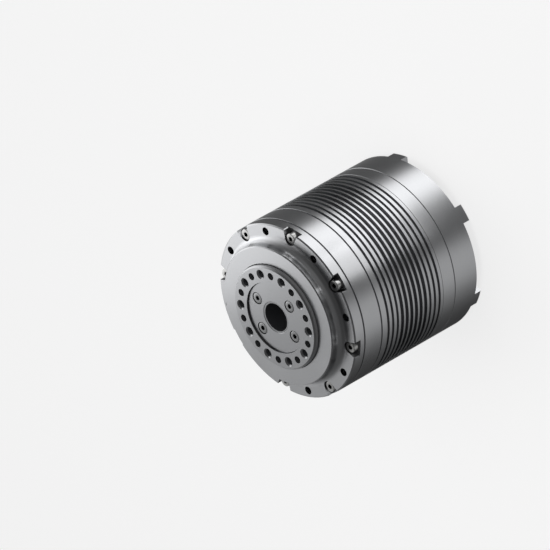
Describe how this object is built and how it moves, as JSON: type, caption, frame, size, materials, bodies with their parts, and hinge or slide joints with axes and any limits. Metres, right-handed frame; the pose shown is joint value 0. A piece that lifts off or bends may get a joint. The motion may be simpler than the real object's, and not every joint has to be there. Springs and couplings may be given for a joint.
{
  "type": "hollow shaft joint actuator",
  "caption": "Round hollow-shaft joint actuator: finned motor housing, strain-wave gear and a drilled output flange turning in a stepped front flange.",
  "frame": {"origin": "on the axis of rotation, level with the tips of the six rear feet", "axes": "+Z along the axis of rotation, out of the output flange; +X through one of the eight flange screws"},
  "size_m": [0.09, 0.09, 0.0965],
  "materials": {
    "anodised_aluminium": "satin grey anodised",
    "screw_steel": "plated steel",
    "bearing_steel": "ground steel",
    "lamination_steel": "stacked laminations",
    "copper_wire": "enamelled wire",
    "plated_magnet": "nickel plated",
    "black_tube": "black anodised",
    "seal_rubber": "moulded rubber",
    "polymer": "moulded",
    "friction_lining": "pressed lining",
    "circuit_board": "solder mask",
    "black_plastic": "moulded",
    "capacitor_can": "drawn can",
    "encoder_disc": "etched"
  },
  "bodies": {
    "housing": {"front_flange": "anodised_aluminium", "gear_housing": "anodised_aluminium", "motor_housing": "anodised_aluminium", "brake_housing": "anodised_aluminium", "rear_cover": "anodised_aluminium", "flange_screws": "screw_steel", "rear_screws": "screw_steel", "output_seal": "seal_rubber", "cross_bearing_outer_lower": "bearing_steel", "cross_bearing_outer_upper": "bearing_steel", "circular_spline": "bearing_steel", "front_bearing_outer_ring": "bearing_steel", "front_bearing_clip": "bearing_steel", "rear_bearing_outer_ring": "bearing_steel", "stator_core": "lamination_steel", "stator_coils": "copper_wire", "brake_coil_body": "bearing_steel", "brake_coil": "copper_wire", "brake_armature": "bearing_steel", "brake_springs": "bearing_steel", "brake_end_plate": "bearing_steel", "brake_pillars": "screw_steel", "brake_screws": "screw_steel", "drive_board": "circuit_board", "board_pillars": "screw_steel", "board_screws": "screw_steel", "board_capacitors": "capacitor_can", "board_power_chips": "black_plastic", "encoder_readers": "black_plastic", "board_connectors": "black_plastic", "tube_bushing": "polymer"},
    "output": {"output_flange": "anodised_aluminium", "hub_cap": "anodised_aluminium", "hub_cap_screws": "screw_steel", "hollow_tube": "black_tube", "cross_bearing_inner": "bearing_steel", "bearing_lock_ring": "bearing_steel", "flexspline": "bearing_steel", "flexspline_clamp_ring": "bearing_steel", "flexspline_screws": "screw_steel", "output_encoder_disc": "encoder_disc"},
    "crossed_rollers": {"cross_bearing_rollers": "bearing_steel", "cross_bearing_spacers": "polymer"},
    "rotor": {"rotor_shaft": "bearing_steel", "rotor_hub": "bearing_steel", "rotor_magnets": "plated_magnet", "wave_generator_plug": "bearing_steel", "wave_bearing_inner_race": "bearing_steel", "wave_bearing_balls": "bearing_steel", "wave_bearing_outer_race": "bearing_steel", "wave_generator_retaining_ring": "bearing_steel", "wave_generator_spacer": "bearing_steel", "front_bearing_inner_ring": "bearing_steel", "rear_bearing_inner_ring": "bearing_steel", "brake_hub": "bearing_steel", "brake_disc": "friction_lining", "input_encoder_disc": "encoder_disc", "shaft_nut": "bearing_steel"},
    "shaft_balls": {"front_bearing_balls": "bearing_steel", "rear_bearing_balls": "bearing_steel"}
  },
  "joints": [
    {"name": "output_turn", "type": "hinge", "parent": "housing", "child": "output", "pos_m": [0, 0, 0.086], "axis": [0, 0, 1], "continuous": true},
    {"name": "roller_orbit", "type": "hinge", "parent": "housing", "child": "crossed_rollers", "pos_m": [0, 0, 0.0859], "axis": [0, 0, 1], "continuous": true},
    {"name": "rotor_turn", "type": "hinge", "parent": "housing", "child": "rotor", "pos_m": [0, 0, 0.045], "axis": [0, 0, 1], "continuous": true},
    {"name": "ball_orbit", "type": "hinge", "parent": "housing", "child": "shaft_balls", "pos_m": [0, 0, 0.045], "axis": [0, 0, 1], "continuous": true}
  ],
  "couplings": [
    {"joint": "roller_orbit", "follows": "output_turn", "ratio": 0.478},
    {"joint": "rotor_turn", "follows": "output_turn", "ratio": -50},
    {"joint": "ball_orbit", "follows": "output_turn", "ratio": -22.2}
  ]
}
